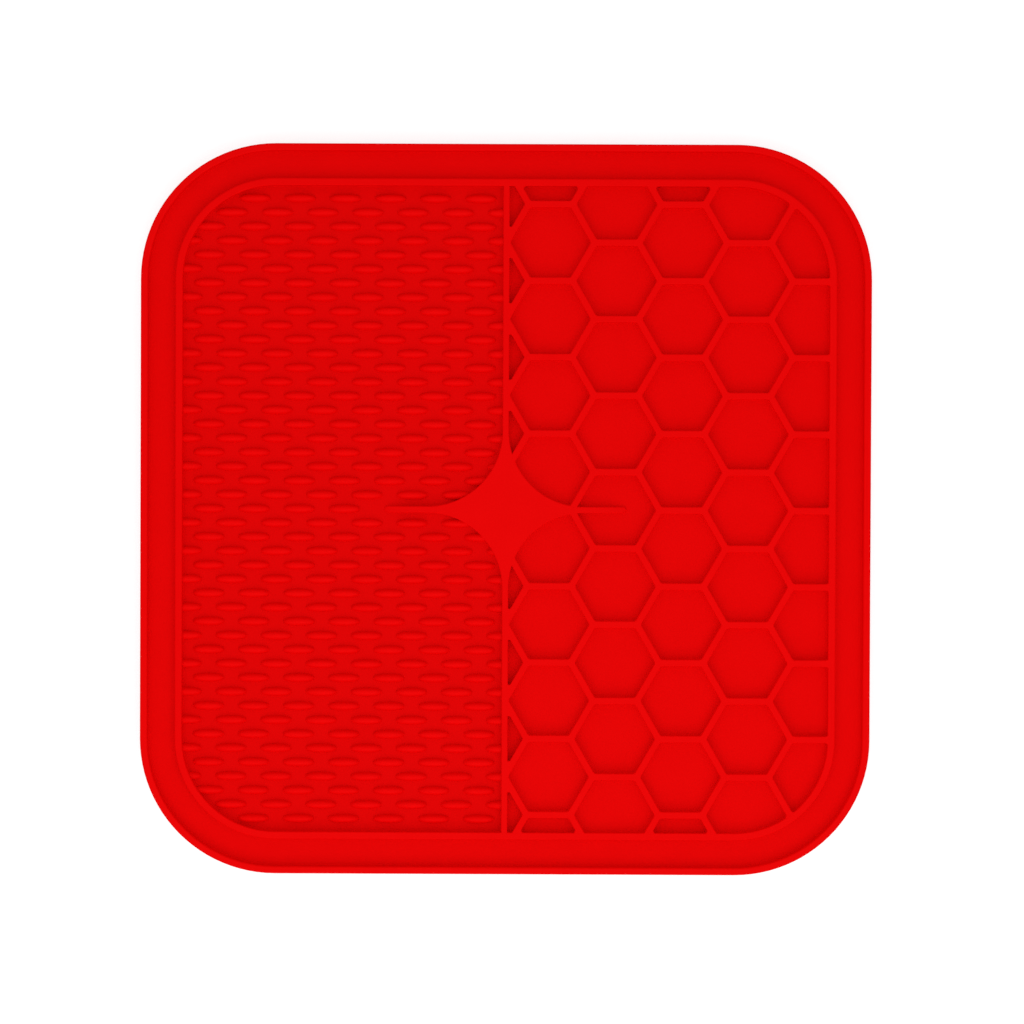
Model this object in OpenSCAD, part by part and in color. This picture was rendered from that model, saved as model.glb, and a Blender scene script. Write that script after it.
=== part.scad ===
// Square silicone lick mat: a thin sheet with a raised rim, a spill channel and a border wall.
// A divider with a four-pointed star splits the inside into a field of oblong nubs and a honeycomb.
// Suction cups under the sheet hold the mat down. Z = 0 is the plane that the cups' lips rest on.

/* [Sheet] */
// Width of the mat, left to right
mat_w = 200; // [190:1:220]
// Length of the mat, front to back
mat_l = 200; // [190:1:220]
// Radius of the mat's corners
corner_r = 37; // [30:1:45]
// Thickness of the sheet that carries the walls and the cups
sheet_t = 2; // [1.5:0.1:3]
// Rounding of the sheet's lower edge
sheet_edge_r = 0.8; // [0.4:0.1:1.2]

/* [Rim and border] */
// Width of the rim on the mat's edge
rim_w = 2; // [1.6:0.1:3]
// Height of the rim above the sheet
rim_h = 3; // [2:0.1:4]
// Width of the spill channel between rim and border
channel_w = 7.45; // [5:0.05:10]
// Width of the border wall around the two fields
border_w = 2.05; // [1.6:0.05:3]
// Height of the border, the divider, the star and the ribs above the sheet
wall_h = 3; // [2:0.1:4]
// Rounding of the top edges of the rim and of the border's outer side
top_r = 0.5; // [0.2:0.05:0.7]

/* [Divider and star] */
// Width of the divider, and of the star's arms where they end
divider_w = 1.7; // [1.4:0.05:2.4]
// Reach of the star's level arms from its centre
star_reach = 21.5; // [18:0.5:25]
// Reach of the two sloping spikes from the star's centre
spike_reach = 33.2; // [28:0.1:38]
// Height left at the end of each spike
spike_tip_h = 0.5; // [0.3:0.05:1]

/* [Honeycomb] */
// Distance from the centre of a cell to the centre of the next
cell_pitch = 20.9; // [18:0.1:24]
// Width of the ribs between the cells
rib_w = 1.84; // [1.4:0.02:2.4]
// Fillet in the corners of the cells
cell_fillet_r = 0.8; // [0.4:0.1:1.2]

/* [Nubs] */
// Length of a nub
nub_len = 8.5; // [6:0.1:10]
// Width of a nub
nub_w = 2.5; // [1.8:0.1:3]
// Height of a nub above the sheet
nub_h = 1.8; // [1:0.1:2]
// Radius of the small flat that each end of a nub finishes in
nub_end_r = 0.2; // [0.1:0.05:0.4]
// Distance between neighbouring columns of nubs
nub_step = 6.2; // [5.5:0.1:7.5]
// Distance between neighbouring rows of nubs
nub_row_step = 3.87; // [3.4:0.01:5]
// Shortest stretch of a cut nub that is kept beside a wall
nub_min = 1; // [0.8:0.1:2]

/* [Suction cups] */
// Diameter of a cup at its lip
cup_d = 18; // [14:0.5:22]
// Height of a cup from its lip to the sheet
cup_h = 4; // [3.2:0.1:5]
// Height of the cup's flexible bell
bell_h = 2.6; // [2:0.1:2.9]
// Wall of the bell over its hollow
bell_wall = 1; // [0.8:0.1:1.2]
// Width of the lip's level edge
lip_w = 0.6; // [0.4:0.1:1]
// Diameter of the solid neck between bell and sheet
neck_d = 7; // [5:0.5:9]
// Widening of the neck where it meets the sheet
neck_flare = 0.7; // [0.4:0.1:1.2]
// Distance between the centres of neighbouring cups
cup_pitch = 36; // [32:0.5:38]

/* [Hidden] */
// Names of the sub-parts, and the one that is drawn
// Segments of a full circle, of the field's outline that cuts the cells, and of a cell's fillets
$fn = 96;
outline_segments = 64;
fillet_segments = 24;

// Cups stand in a square grid of this many rows and columns
cup_rows = 5;
// Sides of a cell
cell_sides = 6;
// Overrun of every cut past the face that it leaves by
over = 1;
// Overrun of the filleted cells into the border wall
cell_over = 0.05;
// Steps in a rounded edge's quarter circle
edge_steps = 4;
// Steps from one end of a nub to the other
nub_steps = 8;
// Fullness of a nub's ends: 2 gives an ellipse, more gives a squarer end
nub_power = 2.2;

half_w = mat_w / 2;
half_l = mat_l / 2;
floor_z = cup_h + sheet_t;

// The field is what the border wall encloses
field_inset = rim_w + channel_w + border_w;
field_half_w = half_w - field_inset;
field_half_l = half_l - field_inset;
field_r = corner_r - field_inset;

// The star's sides are arcs about four centres on its diagonals
star_arc_r = star_reach - divider_w / 2;
// A spike's top is an arc that leaves the level star without a kink
spike_run = spike_reach - star_reach;
spike_drop = wall_h - spike_tip_h;
spike_arc_r = (spike_run * spike_run + spike_drop * spike_drop) / (2 * spike_drop);

// A cell's corner lies this far from its centre
cell_r = cell_pitch / sqrt(3);
column_step = 1.5 * cell_r;
cell_columns = ceil((field_half_w + cell_r) / column_step);
cell_rows = ceil(field_half_l / cell_pitch);

nub_columns = floor((field_half_w - divider_w / 2) / nub_step);
nub_rows = floor((field_half_l - nub_w / 2) / nub_row_step);

// Quarter circle of radius r about c, from angle a0 to a0 + 90
function quarter(c, r, a0) =
    [for (i = [0 : edge_steps]) c + r * [cos(a0 + 90 * i / edge_steps), sin(a0 + 90 * i / edge_steps)]];

// Half width of the star at distance y from its centre line
function star_half(y) =
    abs(y) < star_reach
        ? star_reach - sqrt(max(0, star_arc_r * star_arc_r - pow(star_reach - abs(y), 2)))
        : divider_w / 2;

// True where the point lies inside the border wall
function in_field(x, y) =
    let (dx = abs(x) - (field_half_w - field_r), dy = abs(y) - (field_half_l - field_r))
    dx > 0 && dy > 0 ? norm([dx, dy]) < field_r : dx < field_r && dy < field_r;

// True for a nub of which enough shows beside the border, the star and the spike
function nub_shows(x, y) =
    in_field(x + nub_len / 2 - nub_min, y)
    && x - nub_len / 2 + nub_min < -star_half(y)
    && (abs(y) > nub_w / 2 || x + nub_len / 2 < -spike_reach);

// True for a nub that no wall cuts
function nub_whole(x, y) =
    in_field(x - nub_len / 2, abs(y) + nub_w / 2)
    && x + nub_len / 2 < -star_half(max(0, abs(y) - nub_w / 2));

// Radius of a nub at angle a along it, and how far along it that is
function nub_point(a) = [nub_end_r + (nub_w / 2 - nub_end_r) * pow(max(0, cos(a)), 2 / nub_power),
                         sign(a) * nub_len / 2 * pow(abs(sin(a)), 2 / nub_power)];

// Sweeps a profile around a rounded rectangle: its X points outwards and its Y upwards
module around(hw, hl, r) {
    for (mx = [0, 1], my = [0, 1])
        mirror([mx, 0, 0]) mirror([0, my, 0]) {
            translate([hw - r, hl - r, 0]) rotate_extrude(angle = 90) translate([r, 0]) children();
            translate([hw, hl - r, 0]) rotate([90, 0, 0]) linear_extrude(hl - r) children();
            translate([0, hl, 0]) rotate([90, 0, 90]) linear_extrude(hw - r) children();
        }
}

// Solid with rounded corners that fills the inside of the border wall
module field_block(h) {
    around(field_half_w, field_half_l, field_r) translate([-field_r, 0]) square([field_r, h]);
    translate([field_r - field_half_w, field_r - field_half_l, 0])
        cube([2 * (field_half_w - field_r), 2 * (field_half_l - field_r), h]);
}

module base_sheet() {
    color("#d92010") translate([0, 0, cup_h]) {
        around(half_w, half_l, corner_r)
            polygon(concat([[-corner_r, 0]], quarter([-sheet_edge_r, sheet_edge_r], sheet_edge_r, -90),
                           [[0, sheet_t], [-corner_r, sheet_t]]));
        translate([corner_r - half_w, corner_r - half_l, 0])
            cube([mat_w - 2 * corner_r, mat_l - 2 * corner_r, sheet_t]);
    }
}

module outer_rim() {
    color("#e0281a") translate([0, 0, floor_z])
        around(half_w, half_l, corner_r)
            polygon(concat([[-rim_w, 0], [0, 0]], quarter([-top_r, rim_h - top_r], top_r, 0),
                           quarter([top_r - rim_w, rim_h - top_r], top_r, 90)));
}

module border_wall() {
    color("#e52c1e") translate([0, 0, floor_z])
        around(field_half_w, field_half_l, field_r)
            polygon(concat([[0, 0], [border_w, 0]],
                           quarter([border_w - top_r, wall_h - top_r], top_r, 0), [[0, wall_h]]));
}

module centre_divider() {
    color("#e03020")
        for (side = [0, 1])
            mirror([0, side, 0]) translate([-divider_w / 2, star_reach, floor_z])
                cube([divider_w, field_half_l - star_reach, wall_h]);
}

// The star's level body, h high
module star_body(h) {
    difference() {
        translate([-star_reach, -star_reach, 0]) cube([2 * star_reach, 2 * star_reach, h]);
        for (sx = [-1, 1], sy = [-1, 1])
            translate([sx * star_reach, sy * star_reach, -over]) cylinder(r = star_arc_r, h = h + 2 * over);
    }
}

// A spike along +X: a wall with a round end whose top curves down to the tip
module spike() {
    intersection() {
        union() {
            translate([star_reach, -divider_w / 2, 0])
                cube([spike_run - divider_w / 2, divider_w, wall_h]);
            translate([spike_reach - divider_w / 2, 0, 0]) rotate([0, 0, -90])
                rotate_extrude(angle = 180) square([divider_w / 2, wall_h]);
        }
        translate([star_reach, divider_w, wall_h - spike_arc_r]) rotate([90, 0, 0])
            cylinder(r = spike_arc_r, h = 2 * divider_w);
    }
}

module centre_star() {
    color("#e83424") translate([0, 0, floor_z]) {
        star_body(wall_h);
        for (side = [0, 1]) mirror([side, 0, 0]) spike();
    }
}

// Outlines of the cells, the ones at the border cut to it, with filleted corners
module cell_outlines() {
    offset(r = cell_fillet_r, $fn = fillet_segments) offset(delta = -cell_fillet_r)
        intersection() {
            for (c = [-1 : cell_columns], r = [-cell_rows : cell_rows])
                translate([cell_r + c * column_step, (r + (c % 2 == 0 ? 0.5 : 0)) * cell_pitch])
                    circle(r = cell_r - rib_w / sqrt(3), $fn = cell_sides);
            hull()
                for (sx = [-1, 1], sy = [-1, 1])
                    translate([sx * (field_half_w - field_r), sy * (field_half_l - field_r)])
                        circle(r = field_r + cell_over, $fn = outline_segments);
        }
}

module honeycomb_ribs() {
    color("#e22c1c") translate([0, 0, floor_z])
        difference() {
            intersection() {
                field_block(wall_h);
                translate([divider_w / 2, -half_l, -over]) cube([half_w, mat_l, wall_h + 2 * over]);
            }
            translate([0, 0, -over]) linear_extrude(wall_h + 2 * over) cell_outlines();
            translate([0, 0, -over]) star_body(wall_h + 2 * over);
        }
}

// One nub: a half turn about its long axis, which lies on the sheet, stretched to the nub's height
module nub() {
    scale([1, 1, 2 * nub_h / nub_w]) rotate([90, 0, 90]) rotate_extrude(angle = 180)
        polygon(concat([[0, -nub_len / 2]],
                       [for (i = [0 : nub_steps]) nub_point(180 * i / nub_steps - 90)],
                       [[0, nub_len / 2]]));
}

// The nubs that are whole, or the ones that a wall cuts
module nub_rows(whole) {
    for (c = [0 : nub_columns], r = [-nub_rows : nub_rows])
        let (x = -divider_w / 2 - c * nub_step, y = r * nub_row_step)
            if ((c + r) % 2 != 0 && nub_shows(x, y) && nub_whole(x, y) == whole)
                translate([x, y, 0]) nub();
}

module lick_nubs() {
    color("#f03a2a") translate([0, 0, floor_z]) {
        nub_rows(true);
        difference() {
            intersection() {
                nub_rows(false);
                field_block(wall_h);
                translate([-half_w - divider_w / 2, -half_l, 0]) cube([half_w, mat_l, wall_h]);
            }
            translate([0, 0, -over]) star_body(wall_h + 2 * over);
        }
    }
}

// Radius of the sphere whose cap has radius r and height h
function cap_r(r, h) = (r * r + h * h) / (2 * h);

module suction_cup() {
    bell_r = cap_r(cup_d / 2, bell_h);
    hollow_r = cap_r(cup_d / 2 - lip_w, bell_h - bell_wall);
    difference() {
        union() {
            intersection() {
                translate([0, 0, bell_h - bell_r]) sphere(bell_r);
                cylinder(d = cup_d + 2 * over, h = cup_h);
            }
            cylinder(d = neck_d, h = cup_h - neck_flare);
            translate([0, 0, cup_h - neck_flare])
                cylinder(d1 = neck_d, d2 = neck_d + 2 * neck_flare, h = neck_flare);
        }
        translate([0, 0, bell_h - bell_wall - hollow_r]) sphere(hollow_r);
    }
}

module suction_cups() {
    color("#cc1c0e")
        for (c = [0 : cup_rows - 1], r = [0 : cup_rows - 1])
            translate([(c - (cup_rows - 1) / 2) * cup_pitch, (r - (cup_rows - 1) / 2) * cup_pitch, 0])
                suction_cup();
}

base_sheet();
outer_rim();
border_wall();
centre_divider();
centre_star();
honeycomb_ribs();
lick_nubs();
suction_cups();
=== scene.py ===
# %% [markdown]
# # A silicone lick mat
# The object is a square mat, pressed in one go from soft red silicone. Wet food is spread on it and a
# pet licks it out again. One half is a field of small oblong nubs, the other half a honeycomb, and a
# divider with a four-pointed star stands between them.
#
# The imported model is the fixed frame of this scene: every place and every height below agrees with
# it. Each named part of it gets a finer surface here, with the rounded edges that a mould leaves on
# silicone.

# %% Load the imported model
import math

import bpy
import numpy as np
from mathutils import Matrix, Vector
from mathutils.geometry import delaunay_2d_cdt


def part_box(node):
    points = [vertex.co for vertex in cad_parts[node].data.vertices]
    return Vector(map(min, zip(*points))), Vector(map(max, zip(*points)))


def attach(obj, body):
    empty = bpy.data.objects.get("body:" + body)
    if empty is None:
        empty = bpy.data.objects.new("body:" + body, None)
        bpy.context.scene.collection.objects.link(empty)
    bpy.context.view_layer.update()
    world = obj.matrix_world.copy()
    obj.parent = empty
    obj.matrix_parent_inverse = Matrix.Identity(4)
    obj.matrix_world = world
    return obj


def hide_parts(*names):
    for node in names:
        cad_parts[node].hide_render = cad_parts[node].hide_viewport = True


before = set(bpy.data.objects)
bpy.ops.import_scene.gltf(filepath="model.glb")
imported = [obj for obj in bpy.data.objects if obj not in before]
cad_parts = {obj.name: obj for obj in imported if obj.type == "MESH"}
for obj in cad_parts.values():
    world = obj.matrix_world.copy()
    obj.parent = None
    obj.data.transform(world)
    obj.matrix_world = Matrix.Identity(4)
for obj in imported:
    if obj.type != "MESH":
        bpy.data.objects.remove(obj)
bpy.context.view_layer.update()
MM = 0.001

# %% [markdown]
# The heights come from the boxes of the CAD parts, so that the surfaces below sit where the solids
# are. Z is measured up from the plane that the suction cups rest on. From the edge inwards there
# follow the rim, a flat channel for what spills over, the border wall, and the field inside it.

# %% Heights and outlines
sheet_low, sheet_high = (np.array(corner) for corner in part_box("base_sheet"))
half_w, half_l = sheet_high[:2]
sheet_bottom = sheet_low[2]
floor_z = sheet_high[2]
wall_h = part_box("border_wall")[1][2] - floor_z
corner_r = 37 * MM
rim_w = 2 * MM
channel_w = 7.45 * MM
border_w = 2.05 * MM
inset = rim_w + channel_w + border_w
field_half_w = half_w - inset
field_half_l = half_l - inset
field_r = corner_r - inset
print("sheet", round((floor_z - sheet_bottom) / MM, 2), "mm thick")
print("walls", round(wall_h / MM, 2), "mm high")

# %% [markdown]
# ## Surfaces from arrays
# A moulded wall has the same cross-section along its whole length, so it is a profile that is carried
# along a path. Both are lists of points with their normals. Because the normals are worked out and
# not guessed from the faces, a few points round each edge already look smooth.

# %% Arcs, chains of arcs and rounded rectangles
EDGE_STEPS = 5


def arc(centre, radius, start, end, steps=EDGE_STEPS, hollow=False):
    """Centre plus radius times (cos a, sin a), with the angle a running evenly from start to end in
    degrees. The normals point away from the centre, or towards it where the arc is hollow."""
    a = np.radians(np.linspace(start, end, steps))
    out = np.stack([np.cos(a), np.sin(a)], 1)
    return np.array(centre) + radius * out, -out if hollow else out


def dot(point, normal):
    """A single point of a chain."""
    return np.array([point], float), np.array([normal], float)


def chain(*parts):
    """Joins points with points and normals with normals."""
    return tuple(np.concatenate([part[k] for part in parts]) for k in (0, 1))


def pick(part, which):
    """Those points of a part, with their normals, that a slice picks."""
    return tuple(values[which] for values in part)


def rounded_rectangle(half_x, half_y, radius, steps):
    """Four quarter circles, anticlockwise. The straight sides are the gaps between them."""
    corners = ((1, 1, 0), (-1, 1, 90), (-1, -1, 180), (1, -1, 270))
    return chain(*(arc((sx * (half_x - radius), sy * (half_y - radius)), radius, a, a + 90, steps)
                   for sx, sy, a in corners))


print("a rounded edge has", EDGE_STEPS, "points")

# %% [markdown]
# Carrying a profile along a path gives a grid of points. The profile's first number is a step along
# the path's normal and its second is a height, so parallel walls stay parallel round every corner.

# %% Carry a profile along a path
def carry(path, profile):
    """point[i, j] = path[i] + profile[j, 0] * normal[i], at the height floor + profile[j, 1]."""
    (p, n), (q, m) = path, profile
    level = np.ones(p.shape[:-1] + (1, 1))
    flat = p[..., None, :] + q[:, :1] * n[..., None, :]
    points = np.concatenate([flat, floor_z + level * q[:, 1:]], -1)
    normals = np.concatenate([m[:, :1] * n[..., None, :], level * m[:, 1:]], -1)
    return points, normals


def grid_faces(rows, columns, closed_rows=True, closed_columns=False):
    """Joins each point of a grid to the next in its row and in its column, with four corners a face."""
    i = np.arange(rows if closed_rows else rows - 1)[:, None]
    j = np.arange(columns if closed_columns else columns - 1)
    ni, nj = (i + 1) % rows, (j + 1) % columns
    corners = (i * columns + j, i * columns + nj, ni * columns + nj, ni * columns + j)
    return np.stack(np.broadcast_arrays(*corners), -1).reshape(-1, 4)


def end_faces(rows, columns):
    """The first and the last row of a grid, each as one face that looks outwards."""
    ring = np.arange(columns)
    return np.stack([ring[::-1], ring + (rows - 1) * columns])


def copies(faces, count, size):
    """The faces of one grid of size points, once for each of count such grids in a row."""
    return (faces + np.arange(count)[:, None, None] * size).reshape(-1, faces.shape[1])


# %% [markdown]
# Every piece goes into Blender in the same way. The faces must point outwards, and a closed surface
# says by the sign of its volume whether they do.

# %% Make a piece
def make_piece(name, points, normals, faces, material, *nodes):
    """Volume is a sixth of the sum of a . (b x c) over all triangles. Where it is below zero, the
    faces are turned round."""
    points, normals = points.reshape(-1, 3), normals.reshape(-1, 3)
    normals = normals / np.linalg.norm(normals, axis=1, keepdims=True)
    volume = 0
    for f in faces:
        a, b, c = points[f[:, 0]], points[f[:, 1:-1]], points[f[:, 2:]]
        volume += np.einsum("ij,ikj->", a, np.cross(b, c)) / 6
    if volume < 0:
        faces = [f[:, ::-1] for f in faces]
    mesh = bpy.data.meshes.new(name)
    mesh.from_pydata(points.tolist(), [], [face for f in faces for face in f.tolist()])
    mesh.shade_smooth()
    mesh.normals_split_custom_set_from_vertices(normals.tolist())
    mesh.materials.append(material)
    piece = bpy.data.objects.new(name, mesh)
    bpy.context.scene.collection.objects.link(piece)
    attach(piece, "root")
    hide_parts(*nodes)
    print(name, "has", len(mesh.polygons), "faces and", round(abs(volume) / MM**3), "mm3")


# %% [markdown]
# ## Silicone
# The mat is dyed through, so its colour hardly varies. What the eye reads as silicone is the dull,
# finely roughened skin that the blasted mould leaves, a faint cloudiness in the dye, and a few
# specks of dust that cling to it. Painted textures could show them, but only after every piece is
# unwrapped. So they are patterns in space, in one node group of masks and heights that is placed in
# each material with its own size of grain. The gloss is set in the material itself.

# %% A shared group for the skin of the silicone
def socket(group, name, side, value=0.0):
    """Gives a node group a number as a named input or output."""
    made = group.interface.new_socket(name=name, in_out=side, socket_type="NodeSocketFloat")
    made.default_value = value


def node(tree, kind, x, y, **values):
    """Adds a node at the place x, y of the node editor and gives it its settings."""
    made = tree.nodes.new(kind)
    made.location = (x, y)
    for key, value in values.items():
        setattr(made, key, value)
    return made


skin = bpy.data.node_groups.new("silicone_skin", "ShaderNodeTree")
socket(skin, "Grain Size", "INPUT", 0.4 * MM)
socket(skin, "Cloud Size", "INPUT", 7 * MM)
socket(skin, "Speck Spacing", "INPUT", 11 * MM)
socket(skin, "Grain Height", "OUTPUT")
socket(skin, "Cloud", "OUTPUT")
socket(skin, "Speck", "OUTPUT")
ins = node(skin, "NodeGroupInput", -900, 0)
outs = node(skin, "NodeGroupOutput", 500, 0)
place = node(skin, "ShaderNodeTexCoord", -900, 300)


def pattern(kind, size_input, y):
    """A pattern on Object coordinates whose scale is 1 / size, so that its cells have that size."""
    scale = node(skin, "ShaderNodeMath", -650, y, operation="DIVIDE")
    scale.inputs[0].default_value = 1
    texture = node(skin, kind, -400, y)
    skin.links.new(ins.outputs[size_input], scale.inputs[1])
    skin.links.new(scale.outputs[0], texture.inputs["Scale"])
    skin.links.new(place.outputs["Object"], texture.inputs["Vector"])
    return texture


grain = pattern("ShaderNodeTexNoise", "Grain Size", 200)
grain.inputs["Detail"].default_value = 3
skin.links.new(grain.outputs["Fac"], outs.inputs["Grain Height"])
cloud = pattern("ShaderNodeTexNoise", "Cloud Size", -50)
cloud.inputs["Detail"].default_value = 2
skin.links.new(cloud.outputs["Fac"], outs.inputs["Cloud"])
print("skin group has", len(skin.nodes), "nodes")

# %% [markdown]
# Specks come from a pattern of scattered points. Near a point lies a speck, but only where the
# point's random number is high, so most of the mat stays clean. The speck's radius is a share of the
# spacing: it is solid out to one share of it and has faded away at another.

# %% The specks of the group
CLEAN_SHARE = 0.86
SOLID_SHARE = 0.004
FADED_SHARE = 0.012
scattered = pattern("ShaderNodeTexVoronoi", "Speck Spacing", -350)
chosen = node(skin, "ShaderNodeMath", -150, -450, operation="GREATER_THAN")
chosen.inputs[1].default_value = CLEAN_SHARE
near = node(skin, "ShaderNodeMapRange", -150, -250)
near.inputs["From Min"].default_value = FADED_SHARE
near.inputs["From Max"].default_value = SOLID_SHARE
speck = node(skin, "ShaderNodeMath", 150, -300, operation="MULTIPLY")
skin.links.new(scattered.outputs["Distance"], near.inputs["Value"])
skin.links.new(scattered.outputs["Color"], chosen.inputs[0])
skin.links.new(near.outputs["Result"], speck.inputs[0])
skin.links.new(chosen.outputs[0], speck.inputs[1])
skin.links.new(speck.outputs[0], outs.inputs["Speck"])
print("skin group has", len(skin.nodes), "nodes with the specks")

# %% [markdown]
# Fingers and tongues polish the walls, and the nubs more than the walls, while the sheet stays
# duller. So there are three materials, with three roughnesses. Each mixes two near reds by the cloud
# mask, adds the specks, and roughens the surface with the grain as a bump. The nubs' reds are also
# painted a little lighter, as part of a painted highlight, and the sheet's a little darker, as painted
# shade on the floor between the walls.

# %% A material of silicone
RED = np.array([0.83, 0.0007, 0.0009, 1])
DEEP_RED = np.array([0.795, 0.0003, 0.0005, 1])
DUST = (0.85, 0.25, 0.22, 1)


def silicone(name, roughness, grain_size, depth, painted_light_tone=1):
    """Base colour = the clouded reds times painted_light_tone, which makes them lighter as painted
    light or darker as painted shade, with dust on top. Normal = a bump from the grain, of the given
    depth."""
    material = bpy.data.materials.new(name)
    material.use_nodes = True
    tree = material.node_tree
    shader = tree.nodes["Principled BSDF"]
    shader.inputs["Roughness"].default_value = roughness
    shader.inputs["IOR"].default_value = 1.41
    shader.inputs["Specular IOR Level"].default_value = 0.03
    texture = node(tree, "ShaderNodeGroup", -900, 0, node_tree=skin)
    texture.inputs["Grain Size"].default_value = grain_size
    clouds = node(tree, "ShaderNodeMix", -600, 150, data_type="RGBA")
    clouds.inputs["A"].default_value = painted_light_tone * DEEP_RED
    clouds.inputs["B"].default_value = painted_light_tone * RED
    dusted = node(tree, "ShaderNodeMix", -350, 150, data_type="RGBA")
    dusted.inputs["B"].default_value = DUST
    bump = node(tree, "ShaderNodeBump", -350, -150)
    bump.inputs["Distance"].default_value = depth
    tree.links.new(texture.outputs["Cloud"], clouds.inputs["Factor"])
    tree.links.new(clouds.outputs["Result"], dusted.inputs["A"])
    tree.links.new(texture.outputs["Speck"], dusted.inputs["Factor"])
    tree.links.new(dusted.outputs["Result"], shader.inputs["Base Color"])
    tree.links.new(texture.outputs["Grain Height"], bump.inputs["Height"])
    tree.links.new(bump.outputs["Normal"], shader.inputs["Normal"])
    return material


wall_silicone = silicone("silicone_walls", 0.52, 0.7 * MM, 0.02 * MM)
# the nubs' red is painted 5 % lighter: part of a painted highlight on their crests
nub_silicone = silicone("silicone_nubs", 0.48, 0.8 * MM, 0.015 * MM, painted_light_tone=1.05)
# the sheet's red is painted 3 % darker: painted shade on the floor between the walls
floor_silicone = silicone("silicone_floor", 0.62, 0.5 * MM, 0.03 * MM, painted_light_tone=0.97)
print("materials:", [m.name for m in (wall_silicone, nub_silicone, floor_silicone)])

# %% [markdown]
# Between the nubs the sheet lies in their shade, and it is painted darker there: a painted shade. It
# could be a material of its own, but the sheet is one surface, so the floor's material darkens where a
# point lies left of the divider and inside the field's rounded outline.

# %% Painted shade between the nubs
def shade_where(material, mask, shade):
    """Base colour times the shade where the mask is 1, and as it was where the mask is 0."""
    tree = material.node_tree
    base = tree.nodes["Principled BSDF"].inputs["Base Color"]
    colour = base.links[0].from_socket
    shaded = node(tree, "ShaderNodeMix", -100, 300, data_type="RGBA", blend_type="MULTIPLY")
    shaded.inputs["B"].default_value = (shade, shade, shade, 1)
    tree.links.new(mask, shaded.inputs["Factor"])
    tree.links.new(colour, shaded.inputs["A"])
    tree.links.new(shaded.outputs["Result"], base)
    print(material.name, "has", len(tree.nodes), "nodes")


tree = floor_silicone.node_tree
where = node(tree, "ShaderNodeTexCoord", -1500, 500)
distances = node(tree, "ShaderNodeVectorMath", -1300, 500, operation="ABSOLUTE")
past_straight = node(tree, "ShaderNodeVectorMath", -1100, 500, operation="SUBTRACT")
past_straight.inputs[1].default_value = (field_half_w - field_r, field_half_l - field_r, 1)
corner_way = node(tree, "ShaderNodeVectorMath", -900, 500, operation="MAXIMUM")
from_corner = node(tree, "ShaderNodeVectorMath", -700, 500, operation="LENGTH")
in_field = node(tree, "ShaderNodeMath", -500, 500, operation="LESS_THAN")
in_field.inputs[1].default_value = field_r
parts_of_place = node(tree, "ShaderNodeSeparateXYZ", -1100, 750)
left_half = node(tree, "ShaderNodeMath", -700, 750, operation="LESS_THAN")
left_half.inputs[1].default_value = 0
painted_shade_among_nubs = node(tree, "ShaderNodeMath", -300, 600, operation="MULTIPLY")
tree.links.new(where.outputs["Object"], distances.inputs[0])
tree.links.new(distances.outputs[0], past_straight.inputs[0])
tree.links.new(past_straight.outputs[0], corner_way.inputs[0])
tree.links.new(corner_way.outputs[0], from_corner.inputs[0])
tree.links.new(from_corner.outputs["Value"], in_field.inputs[0])
tree.links.new(where.outputs["Object"], parts_of_place.inputs[0])
tree.links.new(parts_of_place.outputs["X"], left_half.inputs[0])
tree.links.new(left_half.outputs[0], painted_shade_among_nubs.inputs[0])
tree.links.new(in_field.outputs[0], painted_shade_among_nubs.inputs[1])
# painted shade: the sheet between the nubs is painted 5 % darker
shade_where(floor_silicone, painted_shade_among_nubs.outputs[0], 0.95)

# %% [markdown]
# The crests of the nubs get a painted highlight. So the nubs' material is a slightly lighter red,
# and it darkens again from the crest downwards, as painted shade on their sides.

# %% Painted highlight on the nubs' crests
nub_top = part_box("lick_nubs")[1][2]
painted_highlight_depth = 0.7 * MM
tree = nub_silicone.node_tree
where = node(tree, "ShaderNodeTexCoord", -1100, 500)
parts_of_place = node(tree, "ShaderNodeSeparateXYZ", -900, 500)
painted_shade_under_crest = node(tree, "ShaderNodeMapRange", -700, 500)
painted_shade_under_crest.inputs["From Min"].default_value = nub_top
painted_shade_under_crest.inputs["From Max"].default_value = nub_top - painted_highlight_depth
tree.links.new(where.outputs["Object"], parts_of_place.inputs[0])
tree.links.new(parts_of_place.outputs["Z"], painted_shade_under_crest.inputs["Value"])
# painted highlight: below the crest the nubs' red is painted 6 % darker again
shade_where(nub_silicone, painted_shade_under_crest.outputs["Result"], 0.94)

# %% [markdown]
# ## Sheet
# The sheet carries everything. It could be a scaled cube with a bevel, but its outline is a rounded
# square and only its lower edge is rounded. So a profile is carried round the outline, from the top
# over the edge to the bottom, and one face each closes the middle of the top and of the bottom.
# The upper edge stays sharp, because the side starts a hair below it with a normal of its own.

# %% Base sheet
OUTLINE_STEPS = 25
sheet_t = floor_z - sheet_bottom
lower_r = 0.8 * MM
margin = 30 * MM                          # the strip of faces round the top and the bottom
hair = 0.02 * MM
outline = rounded_rectangle(half_w, half_l, corner_r, OUTLINE_STEPS)
profile = chain(dot((-margin, 0), (0, 1)), dot((0, 0), (0, 1)), dot((0, -hair), (1, 0)),
                arc((-lower_r, lower_r - sheet_t), lower_r, 0, -90, EDGE_STEPS + 1),
                dot((-margin, -sheet_t), (0, -1)))
points, normals = carry(outline, profile)
rows, columns = points.shape[:2]
top = np.arange(rows)[None, :] * columns
faces = [grid_faces(rows, columns), top, (top + columns - 1)[:, ::-1]]
make_piece("mat_sheet", points, normals, faces, floor_silicone, "base_sheet")

# %% [markdown]
# ## Rim and border
# Both walls are closed loops, and the rim keeps what spills over the border on the mat. They could be
# curves with a bevel, but the rim's outer face lies flush with the sheet's side. So each has a profile
# of its own, carried round its outline. The grooves of a mould have no sharp corners, so the top edges
# are round, and a small fillet leads each foot into the sheet. The foot goes a little way into the
# sheet, so no light gets under it.

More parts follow.
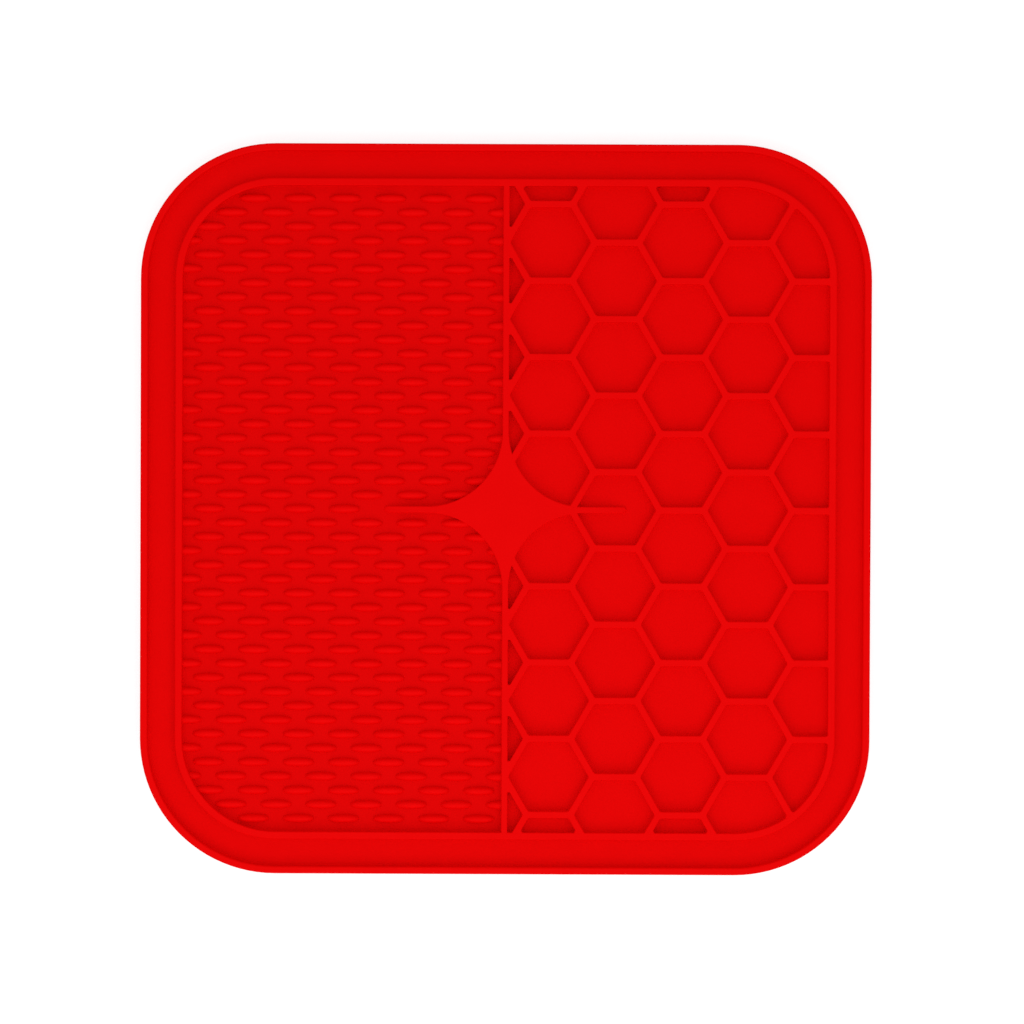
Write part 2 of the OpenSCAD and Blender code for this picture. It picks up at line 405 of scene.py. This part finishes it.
# %% Profile of a wall
FOOT_STEPS = 4
edge_r = 0.3 * MM
top_r = 0.5 * MM                          # the rim and the border's outer edge are rounder
foot_r = 0.12 * MM
sunk = 0.3 * MM


def foot(x, side):
    """Fillet at the foot of a face at x. The side is 1 where that face looks along the normal of the
    path, and -1 where it looks against it."""
    centre = (x + side * foot_r, foot_r)
    start, end = (180, 270) if side > 0 else (-90, 0)
    return arc(centre, foot_r, start, end, FOOT_STEPS, hollow=True)


def wall_profile(inside, outside, height, outer_r=edge_r):
    """Up the face at inside, over two rounded edges and down the face at outside."""
    return chain(dot((inside - foot_r, -sunk), (0, 1)), foot(inside, -1),
                 arc((inside + edge_r, height - edge_r), edge_r, 180, 90),
                 arc((outside - outer_r, height - outer_r), outer_r, 90, 0),
                 foot(outside, 1), dot((outside + foot_r, -sunk), (0, 1)))


print("a wall's profile has", len(wall_profile(0, border_w, wall_h)[0]), "points")

# %% Outer rim and border wall
rim_foot = 1 * MM
rim = chain(dot((-rim_w - foot_r, -sunk), (0, 1)), foot(-rim_w, -1),
            arc((top_r - rim_w, wall_h - top_r), top_r, 180, 90),
            arc((-top_r, wall_h - top_r), top_r, 90, 0),
            dot((0, 0), (1, 0)), dot((-rim_foot, -sunk), (0, 1)))
points, normals = carry(outline, rim)
faces = [grid_faces(*points.shape[:2], closed_columns=True)]
make_piece("mat_rim", points, normals, faces, wall_silicone, "outer_rim")

field = rounded_rectangle(field_half_w, field_half_l, field_r, OUTLINE_STEPS)
points, normals = carry(field, wall_profile(0, border_w, wall_h, top_r))
faces = [grid_faces(*points.shape[:2], closed_columns=True)]
make_piece("mat_border", points, normals, faces, wall_silicone, "border_wall")

# %% [markdown]
# ## Divider
# Two straight bars run from the star to the border. They could be cubes with a bevel, but a wall's
# profile carried along a straight line gives them the same edges and feet as the border. They end
# inside the star and the border, and their tops are a hundredth of a millimetre lower, because two
# faces at the very same height would flicker.

# %% Divider
divider_w = 1.7 * MM
star_reach = 21.5 * MM
layer = 0.01 * MM
into_star = 2 * MM
bar_start = star_reach - into_star
bar_end = field_half_l + edge_r
section = wall_profile(-divider_w / 2, divider_w / 2, wall_h - layer)
bars = []
for way in (1, -1):
    bar_path = np.array([[0, way * bar_start], [0, way * bar_end]])
    bar_normals = np.array([[way, 0], [way, 0]], float)
    bars.append(carry((bar_path, bar_normals), section))
points, normals = (np.stack([bar[k] for bar in bars]) for k in (0, 1))
rows, columns = points.shape[1:3]
side = grid_faces(rows, columns, closed_rows=False, closed_columns=True)
faces = [copies(f, len(bars), rows * columns) for f in (side, end_faces(rows, columns))]
make_piece("mat_divider", points, normals, faces, wall_silicone, "centre_divider")

# %% [markdown]
# ## Star
# The star's sides are four hollow arcs. Its arms up and down run into the divider, and those to the
# left and right go on as spikes whose tops curve down towards the floor. Four cylinders could be cut
# out of a square, but a bevel on that would break up where the spikes get low. So the outline is
# carried inwards and upwards like a wall's profile, with a height that changes along it, and the flat
# top is filled in.

# %% Height of the star
spike_reach = 33.2 * MM
spike_tip_h = 0.5 * MM
spike_run = spike_reach - star_reach
spike_drop = wall_h - spike_tip_h
spike_r = (spike_run**2 + spike_drop**2) / (2 * spike_drop)


def star_top(x):
    """Level up to the star's reach, then a circle of radius spike_r that starts level; and its slope."""
    past = np.clip(np.abs(x) - star_reach, 0, spike_run)
    rise = np.sqrt(spike_r**2 - past**2)
    return wall_h - spike_r + rise, -np.sign(x) * past / rise


def fill(loops, points):
    """Triangles between a first loop and the holes in it. A triangle whose three corners lie on one
    hole is left out, because it would close that hole."""
    index = np.concatenate(loops)
    label = np.repeat(np.arange(len(loops)), [len(loop) for loop in loops])
    after = np.concatenate([np.roll(np.flatnonzero(label == k), -1) for k in range(len(loops))])
    edges = np.stack([np.arange(len(index)), after], 1)
    flat = list(map(Vector, points[index, :2] / MM))
    out = delaunay_2d_cdt(flat, edges.tolist(), [], 1, 1e-6)
    triangles = np.array([origins[0] for origins in out[3]])[np.array(out[2])]
    kinds = label[triangles]
    keep = (kinds != kinds[:, :1]).any(1) | (kinds[:, 0] == 0)
    return index[triangles[keep]]


print("the spikes' tops curve with a radius of", round(spike_r / MM, 1), "mm")

# %% [markdown]
# The outline starts at the right spike's tip and runs anticlockwise. Each spike ends in a half
# circle, and along its straight sides lie a few points more, for the top to curve down between.

# %% Outline of the star
STAR_ARC_STEPS = 33
END_STEPS = 13
SPIKE_STEPS = 12
arm_r = divider_w / 2
star_arc_r = star_reach - arm_r
tip_x = spike_reach - arm_r
along = np.linspace(tip_x, star_reach, SPIKE_STEPS)[1:-1, None]


def star_side(sx, sy, start):
    """A quarter of a hollow circle about a corner of the square that the star fits in."""
    centre = (sx * star_reach, sy * star_reach)
    return arc(centre, star_arc_r, start, start - 90, STAR_ARC_STEPS, hollow=True)


def blunt_end(up):
    """The round end of an arm that is hidden in the divider, less the points that the arcs end in."""
    start = 0 if up > 0 else 180
    return pick(arc((0, up * star_reach), arm_r, start, start + 180, END_STEPS), slice(1, -1))


def spike_side(way, up):
    """The straight side of a spike between its round tip and the star's arc."""
    xs = along if way * up > 0 else along[::-1]
    line = np.concatenate([way * xs, np.full_like(xs, up * arm_r)], 1)
    return line, np.tile([0.0, up], (len(xs), 1))


star_path, star_ways = chain(
    arc((tip_x, 0), arm_r, -90, 90, END_STEPS), spike_side(1, 1), star_side(1, 1, 270),
    blunt_end(1), star_side(-1, 1, 360), spike_side(-1, 1),
    arc((-tip_x, 0), arm_r, 90, 270, END_STEPS), spike_side(-1, -1), star_side(-1, -1, 90),
    blunt_end(-1), star_side(1, -1, 180), spike_side(1, -1))
print("the star's outline has", len(star_path), "points")

# %% [markdown]
# Near the tips the spikes are lower than the edge and the foot together. There the whole profile
# shrinks, and the normals on the edge lean with the slope of the top.

# %% Star
profile, profile_ways = chain(arc((-edge_r, -edge_r), edge_r, 90, 0), foot(0, 1),
                              dot((foot_r, -sunk), (0, 1)))
on_edge = np.arange(len(profile)) < EDGE_STEPS
room = np.minimum(1, star_top(star_path[:, 0])[0] / (edge_r + foot_r))[:, None]
flat = star_path[:, None] + room[..., None] * profile[:, :1] * star_ways[:, None]
height, slope = star_top(flat[..., 0])
z = np.where(on_edge, height + room * profile[:, 1], room * profile[:, 1])
points = np.concatenate([flat, floor_z + z[..., None]], -1)
upright = np.broadcast_to(profile_ways[:, 1:], z.shape + (1,))
normals = np.concatenate([profile_ways[:, :1] * star_ways[:, None], upright], -1)
normals[..., 0] -= slope * upright[..., 0] * on_edge
rows, columns = z.shape
everything = points.reshape(-1, 3)
top = np.arange(rows) * columns
bottom = top + columns - 1
faces = [grid_faces(rows, columns), fill([top], everything), fill([bottom], everything)[:, ::-1]]
make_piece("mat_star", points, normals, faces, wall_silicone, "centre_star")

# %% [markdown]
# ## Honeycomb
# The ribs are what is left between the cells. A boolean modifier could cut the cells out of a plate,
# but it gives no hold on the normals, so the cells are drawn here and not the ribs. A cell is a
# six-sided shape, cut off where it runs into the border or the divider. Its corners are rounded by
# asking, for every direction, which corner lies farthest that way, and then going a fillet's radius
# further. So each cell gets the same number of points, and all of them fit in one array.

# %% Corners of the cells
pitch = 20.9 * MM
rib_w = 1.84 * MM
hidden = 0.15 * MM                        # how far a cell runs into the walls around it
CELL_STEPS = 48
CUT_STEPS = 49
turns = np.radians((np.arange(CELL_STEPS) + 0.5) * 360 / CELL_STEPS)
turns = np.stack([np.cos(turns), np.sin(turns)], 1)


def cut(corners, way, limit):
    """Keeps the part of a convex shape where corner . way <= limit."""
    over, after = corners @ way - limit, np.roll(corners, -1, 0)
    over_after = np.roll(over, -1)
    crossing = (over > 0) != (over_after > 0)
    share = np.where(crossing, over / np.where(crossing, over - over_after, 1), 0)[:, None]
    both = np.stack([corners, corners + share * (after - corners)], 1)
    return both[np.stack([over <= 0, crossing], 1)]


def cell_corners(centre, fillet):
    """A hexagon less half a rib and the fillet, cut by the lines that touch the field's outline."""
    around = np.radians(np.arange(6) * 60)
    size = (pitch - rib_w - 2 * fillet) / math.sqrt(3)
    corners = centre + size * np.stack([np.cos(around), np.sin(around)], 1)
    straight = np.array([field_half_w - field_r, field_half_l - field_r])
    for angle in np.radians(np.linspace(-90, 90, CUT_STEPS)):
        way = np.array([math.cos(angle), math.sin(angle)])
        limit = np.abs(way) @ straight + field_r + hidden - fillet
        if len(corners) and (corners @ way).max() > limit:
            corners = cut(corners, way, limit)
    left = divider_w / 2 - hidden + fillet
    if len(corners) and corners[:, 0].min() < left:
        corners = cut(corners, np.array([-1.0, 0.0]), -left)
    return corners


print("a cell is", round((pitch - rib_w) / MM, 2), "mm across")

# %% [markdown]
# The cells stand in columns, and every other column is half a cell higher. Column -1 is almost
# wholly behind the divider: only the small triangles beside it are left, with tighter fillets, and
# the one at the star isn't there at all.

# %% Outlines of the cells
column_step = 1.5 * pitch / math.sqrt(3)
cell_fillet = 0.8 * MM
triangle_fillet = 0.45 * MM
cells = []
for c in range(-1, 6):
    for r in range(-5, 6):
        centre = np.array([column_step * (c + 2 / 3), (r + (0.5 if c % 2 == 0 else 0)) * pitch])
        fillet = triangle_fillet if c < 0 else cell_fillet
        corners = cell_corners(centre, fillet)
        if len(corners) > 2 and not (c < 0 and r == 0):
            farthest = (corners @ turns.T).argmax(0)
            cells.append(corners[farthest] + fillet * turns)
cells = np.array(cells), np.broadcast_to(turns, (len(cells),) + turns.shape)
print(len(cells[0]), "cells")

# %% [markdown]
# Each cell outline carries the same profile: over the rounded edge of the rib, down its side and
# along the fillet. The tops of the ribs are then filled in between the cells and an outer line that
# is hidden inside the border and the divider.

# %% Insides of the cells
rib_h = wall_h - 2 * layer
profile = chain(arc((edge_r, rib_h - edge_r), edge_r, 90, 180),
                pick(foot(0, -1), slice(None, None, -1)), dot((-foot_r, -sunk), (0, 1)))
points, normals = carry(cells, profile)
count, rows, columns = points.shape[:3]
holes = copies(grid_faces(rows, columns)[:, ::-1], count, rows * columns)
print(len(holes), "faces in the cells")

# %% Honeycomb ribs
PLATE_STEPS = 17
into_border = 1 * MM
corner_points = rounded_rectangle(field_half_w + into_border, field_half_l + into_border,
                                  field_r + into_border, PLATE_STEPS)[0]
middle = np.array([[0, 1.0], [0, -1.0]]) * (field_half_l + into_border)
plate = np.concatenate([corner_points[-PLATE_STEPS:], corner_points[:PLATE_STEPS], middle])
upper_and_lower = chain(dot((0, rib_h), (0, 1)), dot((0, -sunk), (0, -1)))
edge_points, edge_normals = carry((plate, np.zeros_like(plate)), upper_and_lower)
everything = np.concatenate([points.reshape(-1, 3), edge_points[:, 0], edge_points[:, 1]])
all_normals = np.concatenate([normals.reshape(-1, 3), edge_normals[:, 0], edge_normals[:, 1]])

outer = count * rows * columns + np.arange(len(plate))
outer_next = np.roll(outer, -1)
skirt = np.stack([outer, outer + len(plate), outer_next + len(plate), outer_next], 1)
tops = [outer] + list(np.arange(count)[:, None] * rows * columns + np.arange(rows) * columns)
feet = [outer + len(plate)] + [loop + columns - 1 for loop in tops[1:]]
faces = [holes, skirt, fill(tops, everything), fill(feet, everything)[:, ::-1]]
make_piece("mat_honeycomb", everything, all_normals, faces, wall_silicone, "honeycomb_ribs")

# %% [markdown]
# ## Nubs
# A nub is half of a blunt spindle that lies on the sheet, a little higher than half its width. There
# are hundreds of them, so one nub has only a few dozen faces. They could be copies of one object, but
# those at the walls differ from the rest. So all are made at once: an array of places plus an array
# of the points of one nub. Where a nub runs into a wall, its points are held back inside that wall.

# %% Places of the nubs
nub_len = 8.5 * MM
nub_w = 2.5 * MM
nub_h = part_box("lick_nubs")[1][2] - floor_z
nub_step = 6.2 * MM
nub_row = 3.87 * MM
nub_min = 1 * MM                          # the least of a nub that is worth showing
nub_columns = 15
nub_rows = 22                             # above the middle row, and as many below it


def star_half(y):
    """Half width of the star, or of the divider beyond it, at the distance y from the middle."""
    y = np.minimum(np.abs(y), star_reach)
    return star_reach - np.sqrt((star_arc_r**2 - (star_reach - y)**2).clip(0))


def field_edge(y):
    """Distance from the middle to the border wall at y."""
    past = np.clip(np.abs(y) - (field_half_l - field_r), 0, field_r)
    return field_half_w - field_r + np.sqrt(field_r**2 - past**2)


row_numbers = np.arange(-nub_rows, nub_rows + 1)
column, row = np.meshgrid(np.arange(nub_columns), row_numbers, indexing="ij")
x = -divider_w / 2 - column * nub_step
y = row * nub_row
left_end = x - nub_len / 2
right_end = x + nub_len / 2
staggered = (column + row) % 2 == 1
between_walls = (right_end - nub_min > -field_edge(y)) & (left_end + nub_min < -star_half(y))
off_the_spike = (np.abs(y) > nub_w / 2) | (right_end < -spike_reach)
shown = staggered & between_walls & off_the_spike
x, y = x[shown], y[shown]
print(len(x), "nubs,", round(nub_h / MM, 2), "mm high")

# %% [markdown]
# Seen from above a nub is a superellipse, which is an ellipse with slightly fuller ends. Its section
# is half an ellipse, and the height follows the width, so the crest is arched from end to end.

# %% One nub
NUB_SECTION_STEPS = 7
NUB_LENGTH_STEPS = 9
fullness = 2.2
nub_end = 0.2 * MM                        # half the width that is left at its ends
nub_sunk = 0.2 * MM
tall = nub_h / (nub_w / 2)
a = np.radians(np.linspace(-90, 90, NUB_LENGTH_STEPS))
radius = nub_end + (nub_w / 2 - nub_end) * np.cos(a).clip(0) ** (2 / fullness)
length = np.sign(a) * nub_len / 2 * np.abs(np.sin(a)) ** (2 / fullness)
section = arc((0, 0), 1, 0, 180, NUB_SECTION_STEPS)[0]
section = np.concatenate([section, [[-1, 0], [1, 0]]])
across, up = radius[:, None] * (section * [1, tall]).T[:, None]
nub = np.stack(np.broadcast_arrays(length[:, None], across, up), -1)
nub[:, NUB_SECTION_STEPS:, 2] = -nub_sunk
lean = -np.gradient(radius) / np.gradient(length)
across, up = (section / [1, tall]).T[:, None]
nub_normals = np.stack(np.broadcast_arrays(lean[:, None], across, up), -1)
nub_normals[[0, -1], :, 0] = [[-1.0], [1.0]]
print("one nub has", nub[..., 0].size, "points")

# %% All nubs
into_divider = 0.5 * MM
points = nub + np.stack([x, y, np.full_like(x, floor_z)], 1)[:, None, None]
left_limit = -field_edge(points[..., 1]) - into_border
right_limit = -star_half(points[..., 1]) + into_divider
points[..., 0] = points[..., 0].clip(left_limit, right_limit)
normals = np.broadcast_to(nub_normals, points.shape)
count, rows, columns = points.shape[:3]
side = grid_faces(rows, columns, closed_rows=False, closed_columns=True)
faces = [copies(f, count, rows * columns) for f in (side, end_faces(rows, columns))]
make_piece("mat_nubs", points, normals, faces, nub_silicone, "lick_nubs")

# %% [markdown]
# ## Suction cups
# The cups hide under the mat. Each is a flat bell on a short neck, turned like on a lathe: a profile
# from the neck's top over the bell, round the lip and up the hollow to the middle. A screw modifier
# could turn it, but a circle is a path too, and all the circles can be one array of paths.

# %% Profile of a cup
cup_r = 9 * MM
bell_h = 2.6 * MM
hollow_h = 1.6 * MM
lip_w = 0.6 * MM
bead = 0.35 * MM                          # radius of the lip's round edge
neck_r = 3.5 * MM
neck_sunk = 0.2 * MM
flare = 0.7 * MM                          # radius where the neck widens into the sheet
bell_fillet = 0.4 * MM                    # radius where it meets the bell
bell_edge = cup_r - 2.6 * bead            # distance from the axis at which the bell's arc ends
hollow_edge = cup_r - 2.1 * bead          # and at which the hollow's arc begins
bell_arc = (cup_r**2 + bell_h**2) / (2 * bell_h)
bell_z = bell_h - bell_arc
hollow_r = cup_r - lip_w
hollow_arc = (hollow_r**2 + hollow_h**2) / (2 * hollow_h)


def degrees_at(radius, turn_r):
    """Angle above level at which an arc about the cup's axis has this distance from it."""
    return math.degrees(math.acos(radius / turn_r))


fillet_x = neck_r + bell_fillet
fillet_z = bell_z + math.sqrt((bell_arc + bell_fillet)**2 - fillet_x**2)
meet = degrees_at(fillet_x, bell_arc + bell_fillet)
bell_end = degrees_at(bell_edge, bell_arc)
hollow_start = degrees_at(hollow_edge, hollow_arc)
profile, profile_ways = chain(
    dot((neck_r + flare, sheet_bottom + neck_sunk), (1, 0)),
    arc((neck_r + flare, sheet_bottom - flare), flare, 90, 180, 5, hollow=True),
    arc((fillet_x, fillet_z), bell_fillet, 180, 180 + meet, 4, hollow=True),
    pick(arc((0, bell_z), bell_arc, meet, bell_end, 8), slice(1, None)),
    arc((cup_r - bead, bead), bead, 120, -120, 9),
    arc((0, hollow_h - hollow_arc), hollow_arc, hollow_start, 89.5, 8, hollow=True))
print("cup profile has", len(profile), "points, up to", round(profile[:, 1].max() / MM, 2), "mm")

# %% Suction cups
cup_rows = 5
cup_pitch = 36 * MM
CUP_STEPS = 36
spread = (np.arange(cup_rows) - (cup_rows - 1) / 2) * cup_pitch
centres = np.stack(np.meshgrid(spread, spread), -1).reshape(-1, 1, 2)
around = np.radians(np.arange(CUP_STEPS) * 360 / CUP_STEPS)
around = np.stack([np.cos(around), np.sin(around)], 1)
path = np.broadcast_arrays(centres, around)
points, normals = carry(path, (profile - [0, floor_z], profile_ways))
count, rows, columns = points.shape[:3]
ring = np.arange(rows) * columns
ends = np.stack([ring, ring[::-1] + columns - 1])
faces = [copies(f, count, rows * columns) for f in (grid_faces(rows, columns), ends)]
make_piece("mat_cups", points, normals, faces, floor_silicone, "suction_cups")

# %% [markdown]
# ## Floor
# A white floor that fills the picture. A lit surface alone would come out a pale grey, and plain light
# alone would take no shadow. So the camera sees the sum of both: plain light that makes the floor
# white, and a lit surface that the mat's shadow still falls on. Gloss and glass see it in the same
# way. All other light meets a plain pale floor.

# %% Material of the floor
def seen_directly(tree, y):
    """1 for what the camera, gloss or glass sees, and 0 for all other light."""
    rays = node(tree, "ShaderNodeLightPath", -900, y)
    seen = node(tree, "ShaderNodeMath", -600, y, operation="MAXIMUM")
    seen_too = node(tree, "ShaderNodeMath", -400, y, operation="MAXIMUM")
    tree.links.new(rays.outputs["Is Camera Ray"], seen.inputs[0])
    tree.links.new(rays.outputs["Is Glossy Ray"], seen.inputs[1])
    tree.links.new(seen.outputs[0], seen_too.inputs[0])
    tree.links.new(rays.outputs["Is Transmission Ray"], seen_too.inputs[1])
    return seen_too.outputs[0]


floor_white = bpy.data.materials.new("floor_white")
floor_white.use_nodes = True
tree = floor_white.node_tree
tree.nodes.clear()
plain = node(tree, "ShaderNodeBsdfDiffuse", -400, 0)
plain.inputs["Color"].default_value = (0.8, 0.8, 0.8, 1)
lit = node(tree, "ShaderNodeBsdfDiffuse", -400, -150)
lit.inputs["Color"].default_value = (0.5, 0.5, 0.5, 1)
glow = node(tree, "ShaderNodeEmission", -400, -300)
glow.inputs["Strength"].default_value = 0.68
both = node(tree, "ShaderNodeAddShader", -150, -200)
mix = node(tree, "ShaderNodeMixShader", 100, 0)
out = node(tree, "ShaderNodeOutputMaterial", 300, 0)
tree.links.new(lit.outputs[0], both.inputs[0])
tree.links.new(glow.outputs[0], both.inputs[1])
tree.links.new(seen_directly(tree, 300), mix.inputs["Fac"])
tree.links.new(plain.outputs[0], mix.inputs[1])
tree.links.new(both.outputs[0], mix.inputs[2])
tree.links.new(mix.outputs[0], out.inputs["Surface"])
print(floor_white.name, "has", len(tree.nodes), "nodes")

# %% Floor
floor_half = 4.0
corners = np.array([[-1, -1, 0], [1, -1, 0], [1, 1, 0], [-1, 1, 0]]) * floor_half
mesh = bpy.data.meshes.new("floor")
mesh.from_pydata(corners.tolist(), [], [(0, 1, 2, 3)])
mesh.materials.append(floor_white)
floor = bpy.data.objects.new("floor", mesh)
bpy.context.scene.collection.objects.link(floor)
print("floor", 2 * floor_half, "m wide")

# %% [markdown]
# ## Camera
# The photograph looks straight down. How far the walls' sides show near the edges tells the distance,
# and the mat's width in the picture then gives the lens. The mat is a hair wider in the picture on one
# side than on the other, so the camera leans by less than a degree.

# %% Camera
picture_w = 280.2 * MM
distance = 805 * MM
sensor_w = 36
camera_data = bpy.data.cameras.new("camera")
camera_data.sensor_width = sensor_w
camera_data.lens = sensor_w * distance / picture_w
camera = bpy.data.objects.new("camera", camera_data)
camera.location = (4.0 * MM, 10.5 * MM, floor_z + wall_h + distance)
camera.rotation_euler = (math.radians(-0.79), math.radians(0.16), math.radians(0.23))
bpy.context.scene.collection.objects.link(camera)
bpy.context.scene.camera = camera
print("lens", round(camera_data.lens, 1), "mm")

# %% [markdown]
# ## Light
# The mat lies in a bright room: a white world gives more than half of the light and softens every
# shadow. The cells and the channel show where the rest comes from. They are a little darker beside each
# wall and most of all along their lower walls, and the mat is brighter below than above. So a wide soft
# lamp hangs low above the mat's near half and a second one stands in front. One to the right and weaker
# ones to the left and at the back fill in the other sides.

# %% Lamps
def soft_lamp(name, place, aim, size, power):
    """A square of light that faces the point it aims at."""
    data = bpy.data.lights.new(name, "AREA")
    data.shape = "SQUARE"
    data.size = size
    data.energy = power
    lamp = bpy.data.objects.new(name, data)
    lamp.location = place
    lamp.rotation_mode = "QUATERNION"
    lamp.rotation_quaternion = (Vector(aim) - Vector(place)).to_track_quat("-Z", "Y")
    bpy.context.scene.collection.objects.link(lamp)
    print(name, "gives", power, "W from", place)


soft_lamp("lamp_above", (0, -0.27, 0.5), (0, -0.1, 0), 0.6, 0.9)
soft_lamp("lamp_front", (0.05, -0.7, 0.42), (0, 0, 0), 0.45, 0.45)
soft_lamp("lamp_back", (0, 0.7, 0.6), (0, 0, 0), 0.5, 0.2)
soft_lamp("lamp_right", (0.5, -0.1, 0.8), (0.05, -0.05, 0), 0.7, 0.6)
soft_lamp("lamp_left", (-0.65, -0.1, 0.6), (-0.05, -0.05, 0), 0.7, 0.3)

# %% [markdown]
# The world has the same two faces as the floor. A pure white all round would light the mat too
# strongly, so only the camera, gloss and glass see it, and all other light gets less.

# %% World
world = bpy.data.worlds.new("world")
bpy.context.scene.world = world
world.use_nodes = True
tree = world.node_tree
tree.nodes.clear()
fill_light = node(tree, "ShaderNodeBackground", -400, -200)
fill_light.inputs["Color"].default_value = (1, 1, 1, 1)
fill_light.inputs["Strength"].default_value = 0.68
white = node(tree, "ShaderNodeBackground", -400, -350)
white.inputs["Color"].default_value = (1, 1, 1, 1)
mix = node(tree, "ShaderNodeMixShader", -100, 0)
out = node(tree, "ShaderNodeOutputWorld", 100, 0)
tree.links.new(seen_directly(tree, 0), mix.inputs["Fac"])
tree.links.new(fill_light.outputs[0], mix.inputs[1])
tree.links.new(white.outputs[0], mix.inputs[2])
tree.links.new(mix.outputs[0], out.inputs["Surface"])
bpy.context.scene.view_settings.view_transform = "Standard"
print("world has", len(tree.nodes), "nodes")
